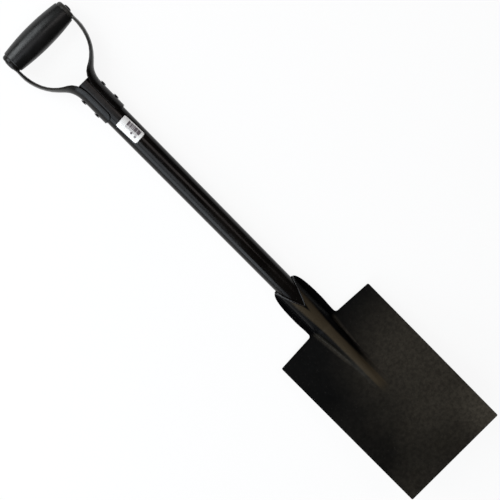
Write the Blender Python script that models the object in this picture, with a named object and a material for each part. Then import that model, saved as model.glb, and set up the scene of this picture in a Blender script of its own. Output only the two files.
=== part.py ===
"""Square shovel: a pressed steel blade welded to a steel tube, with a riveted D handle and a turning grip.

The shovel is drawn along its shaft: the heel, where blade and neck meet, is at the origin, the shaft's
axis runs along +Y to the handle, and the front faces +Z. One empty then lays it face up on the floor.
"""

import math

import bmesh
import bpy
from mathutils import Vector

# Clearance between pieces that touch, and the room of the pin in its holes
FIT = 0.0003

# Blade: one pressed sheet, flat below, with a raised frog that grows into the neck
SHEET = 0.002
BLADE_WIDTH = 0.190
BLADE_LENGTH = 0.298
LIFT = math.radians(13.5)
HEEL_BEND = 0.012
SHOULDER_DROP = 0.0035
SHOULDER_FILLET = 0.005
CORNER_RADIUS = 0.002

# Frog: the rib down the middle of the blade
FROG_LENGTH = 0.1408
FROG_FALL = 1.1
FROG_FOOT = 0.0138
FROG_CROWN_RADIUS = 0.007
FROG_FOOT_RADIUS = 0.007
FROG_END_ROUNDING = 0.018
FROG_END_HALF = 0.003

# Neck: a half round socket over the tube's front, with a flat wing on each side
NECK_LENGTH = 0.0932
NOTCH_DEPTH = 0.041
NOTCH_ROUNDING = 0.15
NECK_FOOT_RADIUS = 0.003
WING_HALF = 0.0285
WAIST_HALF = 0.0275
WING_ROUNDING = 0.058
WING_SQUARENESS = 2.5
WAIST_END = 0.010

# Shaft: an open tube, cut on the slant where it ends behind the frog
TUBE_RADIUS = 0.016
TUBE_WALL = 0.0015
TUBE_TOP = 0.5119
TUBE_FRONT_END = 0.003
TUBE_SLANT = math.radians(45)

# Yoke: two pressed straps, round the tube below, dished into a cup at each end of the grip
STRAP = 0.0022
STRAP_WRAP = math.radians(72)
STRAP_LAP = 0.0611
STRAP_CORNER = 0.009
FLARE_LAP = 0.0165
FLARE_RADIUS = 0.0364
FLARE_STRAIGHT = 0.0068
SHOULDER_RADIUS = 0.0676
ARM_STRAIGHT = 0.0059
FLATTEN_START = 0.0142
FLATTEN_LENGTH = 0.0188
NARROW_LENGTH = 0.060
ARM_HALF = 0.0118
ARM_END_HALF = 0.0065
ARM_BOW = 28.0
ARM_END_BOW = 5.0

# Cups and grip
GRIP_LENGTH = 0.0974
GRIP_MID_RADIUS = 0.0188
GRIP_END_RADIUS = 0.0154
GRIP_EDGE = 0.0014
SPIGOT_LENGTH = 0.0025
CUP_RADIUS = 0.0140
CUP_DEPTH = 0.0060
CUP_CORNER = 0.0040

# Pin and rivets
PIN_RADIUS = 0.004
PIN_HEAD_RADIUS = 0.0055
PIN_HEAD_HEIGHT = 0.0024
PIN_BACK_HEAD_RADIUS = 0.0070
PIN_BACK_HEAD_HEIGHT = 0.0010
RIVET_RADIUS = 0.0025
RIVET_HEAD_RADIUS = 0.0044
RIVET_HEAD_HEIGHT = 0.0016
RIVET_LAPS = {"yoke_rivet_lower": 0.0449, "yoke_rivet_upper": 0.0202}

# Facets, and how near an edge of the sheet a point is moved onto it. The strips across a strap are odd in
# number, so that none of their edges runs through the middle of a hole
ROUND_STEPS = 48
SMALL_STEPS = 32
STRAP_STRIPS = 13
EDGE_SNAP = 0.0004

# Values worked out from the sizes above
BLADE_HALF = BLADE_WIDTH / 2
SOCKET_RADIUS = TUBE_RADIUS + FIT + SHEET / 2
NECK_FOOT = SOCKET_RADIUS + NECK_FOOT_RADIUS
WING_DROP = NECK_FOOT - SOCKET_RADIUS
WAIST_START = NECK_LENGTH - WING_ROUNDING
STRAP_RADIUS = TUBE_RADIUS + FIT + STRAP / 2
STRAP_HALF = STRAP_RADIUS * STRAP_WRAP
STRAP_LOWER_END = TUBE_TOP - STRAP_LAP
FLARE_START = TUBE_TOP - FLARE_LAP
CUP_RIM = GRIP_LENGTH / 2 + FIT
CUP_FACE = CUP_RIM + CUP_DEPTH
ARM_LINE = CUP_FACE - STRAP / 2 - 0.1 * STRAP
HOLE_RADIUS = PIN_RADIUS + FIT
RIVET_HEIGHTS = {name: TUBE_TOP - lap for name, lap in RIVET_LAPS.items()}

# The straps flare at the angle that takes them from the tube out to the cups, and so set the grip's height
FLARE_REACH = ARM_LINE - STRAP_RADIUS
BENDS = FLARE_RADIUS + SHOULDER_RADIUS
FLARE_ANGLE = math.atan2(BENDS, FLARE_STRAIGHT) + math.asin(
    (FLARE_REACH - BENDS) / math.hypot(BENDS, FLARE_STRAIGHT)
)
FLARE_RISE = BENDS * math.sin(FLARE_ANGLE) + FLARE_STRAIGHT * math.cos(FLARE_ANGLE)
GRIP_HEIGHT = FLARE_START + FLARE_RISE + ARM_STRAIGHT + CUP_RADIUS


def clear_scene():
    for obj in list(bpy.data.objects):
        bpy.data.objects.remove(obj)


def make_material(name, color, roughness, metallic=0.0):
    material = bpy.data.materials.new(name)
    material.use_nodes = True
    shader = material.node_tree.nodes["Principled BSDF"]
    shader.inputs["Base Color"].default_value = (*color, 1)
    shader.inputs["Roughness"].default_value = roughness
    shader.inputs["Metallic"].default_value = metallic
    material.diffuse_color = (*color, 1)
    return material


def make_object(name, bm, material=None):
    bmesh.ops.recalc_face_normals(bm, faces=bm.faces)
    mesh = bpy.data.meshes.new(name)
    bm.to_mesh(mesh)
    bm.free()
    if material:
        mesh.materials.append(material)
    obj = bpy.data.objects.new(name, mesh)
    bpy.context.scene.collection.objects.link(obj)
    return obj


def ease(value):
    """0 below 0, 1 above 1, and a smooth rise between."""
    value = min(max(value, 0.0), 1.0)
    return value * value * (3 - 2 * value)


def steps(start, end, count):
    """Evenly spaced values from start to end, both included."""
    return [start + (end - start) * i / count for i in range(count + 1)]


def turned(name, profile, count, material=None):
    """A solid turned round the X axis. The profile is a closed loop of (x, radius)."""
    bm = bmesh.new()
    verts = [bm.verts.new((x, 0, radius)) for x, radius in profile]
    edges = [bm.edges.new((verts[i - 1], verts[i])) for i in range(len(verts))]
    bmesh.ops.spin(
        bm,
        geom=verts + edges,
        cent=(0, 0, 0),
        axis=(1, 0, 0),
        angle=2 * math.pi,
        steps=count,
        use_merge=True,
    )
    bmesh.ops.remove_doubles(bm, verts=bm.verts, dist=1e-6)
    lone = [edge for edge in bm.edges if not edge.link_faces]
    bmesh.ops.delete(bm, geom=lone, context="EDGES")
    return make_object(name, bm, material)


def arc(center, radius, start, end, count):
    """Points of (x, radius) on a round corner, with angles counted from +X."""
    return [
        (center[0] + radius * math.cos(angle), center[1] + radius * math.sin(angle))
        for angle in steps(start, end, count)
    ]


def cylinder(name, radius, length, count):
    """A cylinder round the X axis, used as a cutter: turned half a facet, so that its edges miss those it cuts."""
    profile = [(-length / 2, 0), (length / 2, 0), (length / 2, radius), (-length / 2, radius)]
    obj = turned(name, profile, count)
    obj.rotation_euler = (math.pi / count, 0, 0)
    obj.hide_render = True
    obj.display_type = "WIRE"
    return obj


def cut(obj, cutter, operation="DIFFERENCE"):
    modifier = obj.modifiers.new(cutter.name, "BOOLEAN")
    modifier.object = cutter
    modifier.operation = operation
    modifier.solver = "EXACT"


# Blade


def heel_path(along):
    """Height, rise and lean of the blade's middle line: along is + up the neck and - down the blade."""
    radius = HEEL_BEND / LIFT
    tangent = radius * math.tan(LIFT / 2)
    if along >= tangent:
        return along, 0.0, 0.0
    if along <= -tangent:
        return along * math.cos(LIFT), -along * math.sin(LIFT), LIFT
    lean = LIFT * (tangent - along) / (2 * tangent)
    return tangent - radius * math.sin(lean), radius * (1 - math.cos(lean)), lean


def frog_section(along):
    """Half width, height, crown radius and foot radius of the raised rib at one place."""
    down = max(-along - HEEL_BEND / 2, 0.0) / (FROG_LENGTH - HEEL_BEND / 2)
    if down >= 1:
        settle = ease((down - 1) * 4)
        return FROG_END_HALF + (FROG_FOOT - FROG_END_HALF) * settle, 0.0, FROG_CROWN_RADIUS, FROG_FOOT_RADIUS
    narrow = 1 - (1 - down) ** 2
    half = NECK_FOOT + (FROG_FOOT - NECK_FOOT) * narrow
    height = NECK_FOOT * (1 - down) ** FROG_FALL
    into_end = max(FROG_END_ROUNDING - (1 - down) * FROG_LENGTH, 0.0) / FROG_END_ROUNDING
    half = FROG_END_HALF + (half - FROG_END_HALF) * math.sqrt(1 - into_end**2)
    change = min(down * 2, 1.0)
    crown = SOCKET_RADIUS + (FROG_CROWN_RADIUS - SOCKET_RADIUS) * change
    foot = NECK_FOOT_RADIUS + (FROG_FOOT_RADIUS - NECK_FOOT_RADIUS) * change
    most = (half**2 + height**2) / (2 * height)
    shrink = min(most / (crown + foot), 1.0)
    return half, height, crown * shrink, foot * shrink


def rib_point(share, half, height, crown, foot):
    """A point of the rib's section: a crown arc, a straight flank and a foot arc, by share of its length."""
    both = crown + foot
    flank = math.sqrt(max(half**2 + height**2 - 2 * both * height, 0.0))
    slope = math.atan2(half, both - height) - math.atan2(flank, both)
    length = both * slope + flank
    run = share * length
    if run <= crown * slope:
        angle = run / crown
        return crown * math.sin(angle), height - crown * (1 - math.cos(angle))
    run -= crown * slope
    if run <= flank:
        across = crown * math.sin(slope) + run * math.cos(slope)
        return across, height - crown * (1 - math.cos(slope)) - run * math.sin(slope)
    angle = (length - share * length) / foot
    return half - foot * math.sin(angle), foot * (1 - math.cos(angle))


def rib_shares():
    """Where the section's points lie: closer together at the small foot radius."""
    crown_share = SOCKET_RADIUS / NECK_FOOT
    crown = steps(0, crown_share, 10)
    return crown + steps(crown_share, 1, 4)[1:]


def wing_columns():
    """Distances from the middle to the wing's outer edge, closer together where its outline is round."""
    span = WING_HALF - SOCKET_RADIUS
    first = math.asin((NECK_FOOT_RADIUS / span) ** (WING_SQUARENESS / 2))
    angles = steps(first, math.pi / 2, 6)[1:]
    return [SOCKET_RADIUS + span * math.sin(angle) ** (2 / WING_SQUARENESS) for angle in angles]


def wing_top(across):
    """The neck's upper edge beside the tube: it falls along a rounded corner."""
    share = min(max((across - SOCKET_RADIUS) / (WING_HALF - SOCKET_RADIUS), 0.0), 1.0)
    drop = (1 - share**WING_SQUARENESS) ** (1 / WING_SQUARENESS)
    return NECK_LENGTH - WING_ROUNDING * (1 - drop)


def notch_top(angle):
    """The neck's upper edge over the tube: a V from the front, with its point rounded by a share of the radius."""
    across = math.hypot(math.sin(angle), NOTCH_ROUNDING) - NOTCH_ROUNDING
    most = math.hypot(1, NOTCH_ROUNDING) - NOTCH_ROUNDING
    return NECK_LENGTH - NOTCH_DEPTH * (1 - across / most)


def shoulder_top(across):
    """The blade's upper edge outside the neck, with its fillet and its rounded outer corner."""
    start = WAIST_HALF + SHOULDER_FILLET
    if across < start:
        return SHOULDER_FILLET - math.sqrt(max(SHOULDER_FILLET**2 - (start - across) ** 2, 0.0))
    edge = -SHOULDER_DROP * (across - start) / (BLADE_HALF - start)
    return edge - corner_drop(across)


def corner_drop(across):
    """How far a rounded outer corner cuts into the upper or lower edge."""
    into = across - (BLADE_HALF - CORNER_RADIUS)
    if into <= 0:
        return 0.0
    return CORNER_RADIUS - math.sqrt(max(CORNER_RADIUS**2 - into**2, 0.0))


def side_columns():
    """Distances from the middle for the blade outside the neck."""
    fillet = [
        WAIST_HALF + SHOULDER_FILLET * (1 - math.cos(angle)) for angle in steps(0, math.pi / 2, 4)
    ]
    flat = steps(fillet[-1], BLADE_HALF - CORNER_RADIUS, 3)[1:]
    corner = [
        BLADE_HALF - CORNER_RADIUS * (1 - math.sin(angle)) for angle in steps(0, math.pi / 2, 3)[1:]
    ]
    return fillet + flat + corner


def blade_levels():
    """Places along the middle line where a row of points lies, from the cutting edge to the socket's mouth."""
    bend = HEEL_BEND / 2
    levels = [-BLADE_LENGTH, -BLADE_LENGTH + CORNER_RADIUS]
    levels += steps(-BLADE_LENGTH + CORNER_RADIUS, -FROG_LENGTH, 2)[1:]
    levels += steps(-FROG_LENGTH, -FROG_LENGTH + FROG_END_ROUNDING, 4)[1:]
    levels += steps(-FROG_LENGTH + FROG_END_ROUNDING, -bend, 10)[1:]
    levels += steps(-bend, SHOULDER_FILLET, 4)[1:]
    levels += steps(SHOULDER_FILLET, NECK_LENGTH, 15)[1:]
    return levels


def blade_point(across, height, along, side):
    """Puts a point at a distance from the middle line and a height above the sheet."""
    shaft, rise, lean = heel_path(along)
    y = shaft + height * math.sin(lean)
    z = rise + height * math.cos(lean) - WING_DROP
    return Vector((side * across, y, z))


def waist(across, along):
    """Draws the wing's edge in a little above the shoulder."""
    if across <= NECK_FOOT:
        return across
    share = ease((WAIST_START - along) / (WAIST_START - WAIST_END))
    return NECK_FOOT + (across - NECK_FOOT) * (1 - share * (WING_HALF - WAIST_HALF) / (WING_HALF - NECK_FOOT))


def middle_columns():
    """One function of the place along for each column of the frog and the neck, with its upper end."""
    columns = []
    for share in rib_shares():
        half, height, crown, foot = frog_section(NECK_LENGTH)
        across, _ = rib_point(share, half, height, crown, foot)
        angle = share * (crown + foot) * math.pi / 2 / crown
        top = notch_top(angle) if angle < math.pi / 2 else wing_top(across)

        def place(along, share=share):
            return rib_point(share, *frog_section(along))

        columns.append((place, top))
    for wing in wing_columns():

        def place(along, wing=wing):
            foot = frog_section(along)[0]
            reach = waist(wing, along)
            share = (reach - NECK_FOOT) / (WAIST_HALF - NECK_FOOT)
            return reach + (foot - NECK_FOOT) * max(1 - share, 0.0), 0.0

        columns.append((place, wing_top(wing)))
    return columns


def add_columns(bm, columns, levels, side, bottom=None):
    """Fills the sheet between neighbouring columns, each clipped to its own upper and lower end."""
    grid = []
    for place, top in columns:
        line = []
        for level in levels:
            along = top if level > top - EDGE_SNAP else level
            across, height = place(along)
            if bottom:
                low = bottom(across)
                along = low if along < low + EDGE_SNAP else along
            line.append(bm.verts.new(blade_point(across, height, along, side)))
        grid.append(line)
    for left, right in zip(grid, grid[1:]):
        for i in range(len(levels) - 1):
            corners = [left[i], right[i], right[i + 1], left[i + 1]]
            kept = []
            for vert in corners:
                if all((vert.co - other.co).length > 1e-6 for other in kept):
                    kept.append(vert)
            if len(kept) > 2:
                bm.faces.new(kept)


def make_blade(material):
    bm = bmesh.new()
    levels = blade_levels()
    sides = [(lambda along, x=x: (x, 0.0), shoulder_top(x)) for x in side_columns()]
    for side in (-1, 1):
        add_columns(bm, middle_columns(), levels, side)
        add_columns(bm, sides, levels, side, lambda across: -BLADE_LENGTH + corner_drop(across))
    bmesh.ops.remove_doubles(bm, verts=bm.verts, dist=2e-6)
    loose = [vert for vert in bm.verts if not vert.link_faces]
    bmesh.ops.delete(bm, geom=loose, context="VERTS")
    blade = make_object("blade", bm, material)
    solid = blade.modifiers.new("sheet", "SOLIDIFY")
    solid.thickness = SHEET
    solid.offset = 0
    solid.use_even_offset = True
    solid.use_quality_normals = True
    return blade


# Shaft


def make_tube(material):
    inner = TUBE_RADIUS - TUBE_WALL
    low = TUBE_FRONT_END - 2 * TUBE_RADIUS * math.tan(TUBE_SLANT)
    profile = [(low, TUBE_RADIUS), (TUBE_TOP, TUBE_RADIUS), (TUBE_TOP, inner), (low, inner)]
    tube = turned("shaft_tube", profile, ROUND_STEPS, material)
    tube.rotation_euler = (0, 0, math.pi / 2)
    cut(tube, slant_cutter())
    for height in RIVET_HEIGHTS.values():
        cut(tube, rivet_hole(height))
    return tube


def slant_cutter():
    """A block that takes the tube's lower end off on the slant, longest at the front."""
    size = 8 * TUBE_RADIUS
    bm = bmesh.new()
    bmesh.ops.create_cube(bm, size=size)
    bmesh.ops.translate(bm, verts=bm.verts, vec=(0, -size / 2, 0))
    cutter = make_object("cutter_slant", bm)
    cutter.rotation_euler = (-TUBE_SLANT, 0, 0)
    cutter.location = (0, TUBE_FRONT_END + TUBE_RADIUS * math.tan(TUBE_SLANT), 0)
    cutter.hide_render = True
    cutter.display_type = "WIRE"
    return cutter


def rivet_hole(height):
    name = f"cutter_rivet_{round(height * 1000)}"
    if name in bpy.data.objects:
        return bpy.data.objects[name]
    hole = cylinder(name, RIVET_RADIUS + FIT, 6 * TUBE_RADIUS, SMALL_STEPS)
    hole.location = (0, height, 0)
    return hole


# Yoke


def flare_lengths():
    """Lengths of the strap's two bends and of the straight run between them."""
    return FLARE_RADIUS * FLARE_ANGLE, FLARE_STRAIGHT, SHOULDER_RADIUS * FLARE_ANGLE


def arm_point(run):
    """Place and lean of the strap's middle line. run is 0 where it leaves the tube."""
    first, straight, second = flare_lengths()
    x, y, lean = STRAP_RADIUS, FLARE_START, 0.0
    if run <= 0:
        return x, y + run, lean
    lean = min(run, first) / FLARE_RADIUS
    x += FLARE_RADIUS * (1 - math.cos(lean))
    y += FLARE_RADIUS * math.sin(lean)
    if run <= first:
        return x, y, lean
    along = min(run - first, straight)
    x += along * math.sin(FLARE_ANGLE)
    y += along * math.cos(FLARE_ANGLE)
    if run <= first + straight:
        return x, y, lean
    turn = min(run - first - straight, second) / SHOULDER_RADIUS
    lean = FLARE_ANGLE - turn
    x += SHOULDER_RADIUS * (math.cos(lean) - math.cos(FLARE_ANGLE))
    y += SHOULDER_RADIUS * (math.sin(FLARE_ANGLE) - math.sin(lean))
    y += max(run - first - straight - second, 0.0)
    return x, y, lean


def arm_runs():
    """Places along the strap where a row of points lies, closer together round its lower corners."""
    first, straight, second = flare_lengths()
    low = STRAP_LOWER_END - FLARE_START
    tongue = [low + STRAP_CORNER * (1 - math.cos(angle)) for angle in steps(0, math.pi / 2, 5)]
    bends_end = first + straight + second
    cup_start = bends_end + ARM_STRAIGHT
    end = cup_start + CUP_RADIUS / 2
    runs = tongue
    runs += steps(tongue[-1], 0, 2)[1:]
    runs += steps(0, first, 6)[1:]
    runs += steps(first, first + straight, 1)[1:]
    runs += steps(first + straight, bends_end, 7)[1:]
    runs += [cup_start]
    runs += steps(cup_start, end, 4)[1:]
    return runs


def strap_section(run):
    """Half width of the strap, laid flat, and its curvature round its length."""
    into = run - (STRAP_LOWER_END - FLARE_START)
    over_cup = ease((arm_point(run)[1] - GRIP_HEIGHT + CUP_RADIUS) / (CUP_RADIUS / 2))
    half = STRAP_HALF + (ARM_HALF - STRAP_HALF) * ease(run / NARROW_LENGTH)
    half += (ARM_END_HALF - ARM_HALF) * over_cup
    if into < STRAP_CORNER:
        half -= STRAP_CORNER - math.sqrt(STRAP_CORNER**2 - (STRAP_CORNER - into) ** 2)
    flatten = ease((run - FLATTEN_START) / FLATTEN_LENGTH)
    bow = 1 / STRAP_RADIUS + (ARM_BOW - 1 / STRAP_RADIUS) * flatten
    return half, bow + (ARM_END_BOW - ARM_BOW) * over_cup


def strap_point(run, share, side):
    x, y, lean = arm_point(run)
    half, bow = strap_section(run)
    angle = share * half * bow
    sag = (1 - math.cos(angle)) / bow
    return Vector((side * (x - sag * math.cos(lean)), y + sag * math.sin(lean), math.sin(angle) / bow))


def make_cup(name, side):
    """The strap's dished end: a round cup over the end of the grip."""
    face, rim, radius, wall = CUP_FACE, CUP_RIM, CUP_RADIUS, STRAP
    corner = CUP_CORNER
    outer = arc((face - corner, radius - corner), corner, 0, math.pi / 2, 5)
    inner = arc((face - corner, radius - corner), corner - wall, math.pi / 2, 0, 3)
    profile = [(face, 0), *outer, (rim, radius), (rim, radius - wall), *inner, (face - wall, 0)]
    cup = turned(name, [(side * x, across) for x, across in profile], ROUND_STEPS)
    cup.hide_render = True
    cup.display_type = "WIRE"
    return cup


def make_strap(name, side, material):
    shares = steps(-1, 1, STRAP_STRIPS)
    bm = bmesh.new()
    rows = [[bm.verts.new(strap_point(run, share, side)) for share in shares] for run in arm_runs()]
    for lower, upper in zip(rows, rows[1:]):
        for i in range(len(shares) - 1):
            bm.faces.new((lower[i], lower[i + 1], upper[i + 1], upper[i]))
    strap = make_object(name, bm, material)
    solid = strap.modifiers.new("sheet", "SOLIDIFY")
    solid.thickness = STRAP
    solid.offset = 0
    solid.use_even_offset = True
    solid.use_quality_normals = True
    cup = make_cup(f"union_{name}_cup", side)
    cup.location = (0, GRIP_HEIGHT, 0)
    cut(strap, cup, "UNION")
    cut(strap, pin_hole())
    for height in RIVET_HEIGHTS.values():
        cut(strap, rivet_hole(height))
    return strap


def pin_hole():
    name = "cutter_pin"
    if name in bpy.data.objects:
        return bpy.data.objects[name]
    hole = cylinder(name, HOLE_RADIUS, 4 * CUP_FACE, SMALL_STEPS)
    hole.location = (0, GRIP_HEIGHT, 0)
    return hole


# Fasteners


def dome(base, direction, radius, height, count):
    """A low round head standing on a flat base, as points of (x, radius) from its rim to its middle."""
    return [
        (base + direction * height * math.sin(angle), radius * math.cos(angle))
        for angle in steps(0, math.pi / 2, count)
    ]


def make_rivet(name, height, material):
    seat = TUBE_RADIUS + FIT + STRAP + FIT
    right = dome(seat, 1, RIVET_HEAD_RADIUS, RIVET_HEAD_HEIGHT, 4)
    left = [(-x, radius) for x, radius in reversed(right)]
    profile = left + [(-seat, RIVET_RADIUS), (seat, RIVET_RADIUS)] + right
    rivet = turned(name, profile, SMALL_STEPS, material)
    rivet.location = (0, height, 0)
    return rivet


def make_pin(material):
    seat = CUP_FACE + FIT
    right = dome(seat, 1, PIN_HEAD_RADIUS, PIN_HEAD_HEIGHT, 5)
    left = dome(-seat, -1, PIN_BACK_HEAD_RADIUS, PIN_BACK_HEAD_HEIGHT, 4)
    profile = list(reversed(left)) + [(-seat, PIN_RADIUS), (seat, PIN_RADIUS)] + right
    pin = turned("grip_pin", profile, SMALL_STEPS, material)
    pin.location = (0, GRIP_HEIGHT, 0)
    return pin


# Grip


def barrel_radius(x):
    """The grip's long curve: thickest in the middle."""
    share = x / (GRIP_LENGTH / 2)
    return GRIP_MID_RADIUS - (GRIP_MID_RADIUS - GRIP_END_RADIUS) * share**2


def make_grip(material):
    half = GRIP_LENGTH / 2
    spigot = CUP_RADIUS - STRAP - 2 * FIT
    edge = GRIP_EDGE
    curve = [(x, barrel_radius(x)) for x in steps(-(half - edge), half - edge, 13)]
    shoulder = curve[-1][1] - edge
    right = arc((half - edge, shoulder), edge, math.pi / 2, 0, 4)[1:]
    left = [(-x, radius) for x, radius in reversed(right)]
    tip = half + SPIGOT_LENGTH
    profile = [(-tip, HOLE_RADIUS), (-tip, spigot), (-half, spigot), *left]
    profile += [*curve, *right, (half, spigot), (tip, spigot), (tip, HOLE_RADIUS)]
    grip = turned("grip", profile, ROUND_STEPS, material)
    grip.location = (0, GRIP_HEIGHT, 0)
    return grip


# Placing


def rest_lean():
    """How far the shaft leans when it lies on the tube's lower edge and on the grip."""
    back_end = TUBE_FRONT_END + 2 * TUBE_RADIUS * math.tan(TUBE_SLANT)
    span = GRIP_HEIGHT - back_end
    return math.asin(GRIP_MID_RADIUS / math.hypot(TUBE_RADIUS, span)) - math.atan2(TUBE_RADIUS, span)


def lay_down(pieces):
    """Parents every piece to one empty, lays it face up on the floor and centres it."""
    root = bpy.data.objects.new("shovel", None)
    bpy.context.scene.collection.objects.link(root)
    for obj in bpy.data.objects:
        if obj is not root:
            obj.parent = root
    root.rotation_euler = (rest_lean(), 0, 0)
    bpy.context.view_layer.update()
    graph = bpy.context.evaluated_depsgraph_get()
    points = []
    for piece in pieces:
        solid = piece.evaluated_get(graph)
        points += [solid.matrix_world @ vert.co for vert in solid.data.vertices]
    low = [min(point[i] for point in points) for i in range(3)]
    high = [max(point[i] for point in points) for i in range(3)]
    root.location = (-(low[0] + high[0]) / 2, -(low[1] + high[1]) / 2, -low[2])


def main():
    clear_scene()
    pieces = [
        make_blade(make_material("blade_paint", (0.030, 0.027, 0.024), 0.45)),
        make_tube(make_material("shaft_paint", (0.016, 0.016, 0.018), 0.25)),
        make_strap("yoke_strap_right", 1, make_material("strap_right_paint", (0.02, 0.02, 0.023), 0.3)),
        make_strap("yoke_strap_left", -1, make_material("strap_left_paint", (0.02, 0.02, 0.023), 0.3)),
        make_grip(make_material("grip_plastic", (0.018, 0.018, 0.02), 0.3)),
        make_pin(make_material("pin_paint", (0.02, 0.02, 0.023), 0.35)),
    ]
    for name, height in RIVET_HEIGHTS.items():
        pieces.append(make_rivet(name, height, make_material(f"{name}_paint", (0.02, 0.02, 0.023), 0.35)))
    lay_down(pieces)


if __name__ == "__main__":
    main()
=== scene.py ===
import math

import bmesh
import bpy
from bpy.props import FloatProperty, FloatVectorProperty, PointerProperty
from mathutils import Matrix, Vector


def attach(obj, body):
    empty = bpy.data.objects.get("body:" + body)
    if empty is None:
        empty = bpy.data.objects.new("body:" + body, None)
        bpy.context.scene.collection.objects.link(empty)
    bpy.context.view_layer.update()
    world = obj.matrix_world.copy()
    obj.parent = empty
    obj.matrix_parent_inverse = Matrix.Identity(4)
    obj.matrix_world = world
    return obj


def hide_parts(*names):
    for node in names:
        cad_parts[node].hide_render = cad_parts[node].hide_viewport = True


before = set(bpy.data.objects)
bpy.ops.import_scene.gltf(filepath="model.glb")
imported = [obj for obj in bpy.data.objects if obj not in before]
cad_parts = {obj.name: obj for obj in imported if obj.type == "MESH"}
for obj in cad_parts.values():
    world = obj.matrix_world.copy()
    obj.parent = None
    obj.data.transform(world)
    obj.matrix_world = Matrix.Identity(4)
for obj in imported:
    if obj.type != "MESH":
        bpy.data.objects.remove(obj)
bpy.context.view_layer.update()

bl_info = {
    "name": "Square Shovel Dresser",
    "version": (1, 1, 0),
    "blender": (4, 5, 0),
    "location": "View3D > Sidebar > Shovel",
    "description": "Builds the painted pieces of a square mouth shovel over its packed solids",
    "category": "Add Mesh",
}

# Pieces are drawn with the shaft along +Y from the heel of the blade. SHAFT lays them as the solids lie
HEEL = Vector((0.0, -0.161486, 0.015985))
SHAFT_LEAN = math.radians(0.286745)
SHAFT = Matrix.Translation(HEEL) @ Matrix.Rotation(SHAFT_LEAN, 4, "X")

# Sizes that the solids have, in metres
FIT = 0.0003
SHEET = 0.002
BLADE_HALF = 0.095
BLADE_LENGTH = 0.298
LIFT = math.radians(13.5)
HEEL_BEND = 0.012
SHOULDER_DROP = 0.0035
SHOULDER_FILLET = 0.005
CORNER_RADIUS = 0.002

FROG_LENGTH = 0.1408
FROG_FALL = 1.1
FROG_FOOT = 0.0138
FROG_CROWN_RADIUS = 0.007
FROG_FOOT_RADIUS = 0.007
FROG_END_ROUNDING = 0.018
FROG_END_HALF = 0.003

NECK_LENGTH = 0.0932
NOTCH_DEPTH = 0.041
NOTCH_ROUNDING = 0.15
NECK_FOOT_RADIUS = 0.003
WING_HALF = 0.0285
WAIST_HALF = 0.0275
WING_ROUNDING = 0.058
WING_SQUARENESS = 2.5
WAIST_END = 0.010

TUBE_RADIUS = 0.016
TUBE_WALL = 0.0015
TUBE_TOP = 0.5119
TUBE_FRONT_END = 0.003

STRAP = 0.0022
RIVET_HEIGHTS = {"yoke_rivet_lower": 0.4670, "yoke_rivet_upper": 0.4917}
RIVET_RADIUS = 0.0025
RIVET_HEAD_RADIUS = 0.0044
RIVET_HEAD_HEIGHT = 0.0016

GRIP_HEIGHT = 0.594516
GRIP_HALF = 0.0487
GRIP_MID_RADIUS = 0.0188
GRIP_END_RADIUS = 0.0154
GRIP_EDGE = 0.0014
SPIGOT_LENGTH = 0.0025
CUP_RADIUS = 0.0140
CUP_FACE = 0.0550
PIN_RADIUS = 0.004
PIN_HEAD_RADIUS = 0.0055
PIN_HEAD_HEIGHT = 0.0024
PIN_BACK_HEAD_RADIUS = 0.0070
PIN_BACK_HEAD_HEIGHT = 0.0010

SOCKET_RADIUS = TUBE_RADIUS + FIT + SHEET / 2
NECK_FOOT = SOCKET_RADIUS + NECK_FOOT_RADIUS
WAIST_START = NECK_LENGTH - WING_ROUNDING

# Values of the visual pieces alone. Points closer than MERGE are one, and the rows of the sheet's points
# keep ROW_GAP from its edge. The tube starts as a longer blank
MERGE = 1e-6
SHEET_MERGE = 2e-6
ROW_GAP = 0.0004
SHARP_EDGE = math.radians(55)
BLANK_LENGTH = 0.6
BLANK_MIDDLE = 0.25
TUBE_EDGE = 0.00035
WELD_POINTS = 240
WELD_REACH = math.radians(88)
WELD_LIFT = 0.0002
ARM_BLEND = 0.010
CUP_MARGIN = 0.002
LABEL_CORNER = 0.0025
LABEL_THICKNESS = 0.00012
LABEL_LIFT = 0.00008
LABEL_SHIFT = 0.0004

# Layout of the shader nodes
NODES_IN_COLUMN = 6
NODE_SPACE = (220, 320)

# The studio. The camera looks at a place on the shaft, and the shaft runs down the picture at an angle
FLOOR_SIZE = 40
ROOM_COLOUR = (0.97, 0.985, 1.0, 1)
LIT_PLACE = Vector((0, 0.1, 0))
SEEN_PLACE = Vector((0, 0.16915, 0))
PICTURE_TURN = math.radians(44.7488)
LENS_SHIFT = (-0.001, 0.00196)

# Each soft light's place, the direction of its length, its length, width and colour
LIGHTS = {
    "key_left": ((-2.2, 0.2, 0.95), (0, 1, 0), 2.3, 1.5, (0.82, 0.91, 1.0)),
    "soft_left": ((-1.05, 0.075, 1.75), (0, 1, 0), 0.85, 1.0, (0.86, 0.92, 1.0)),
    "soft_top": ((0, 0.28, 2.0), (0, 1, 0), 0.3, 1.1, (1.0, 0.98, 1.0)),
    "key_handle": ((-0.6, 2.15, 1.67), (1, 0, 0), 1.5, 1.7, (0.92, 0.97, 1.0)),
    "strip_right": ((1.0, -0.1, 1.9), (-0.44, 0.9, 0), 1.0, 0.7, (1.0, 0.88, 0.86)),
}


# Working by hand in code


def work_on(obj):
    """Leaves only this object selected and active."""
    if bpy.context.mode != "OBJECT":
        bpy.ops.object.mode_set(mode="OBJECT")
    bpy.ops.object.select_all(action="DESELECT")
    obj.select_set(True)
    bpy.context.view_layer.objects.active = obj


def new_object(name, data):
    """Puts data into the scene as an object."""
    obj = bpy.data.objects.new(name, data)
    bpy.context.scene.collection.objects.link(obj)
    return obj


def named(name):
    """Names the object that an operator has just added."""
    obj = bpy.context.object
    obj.name = obj.data.name = name
    return obj


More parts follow.
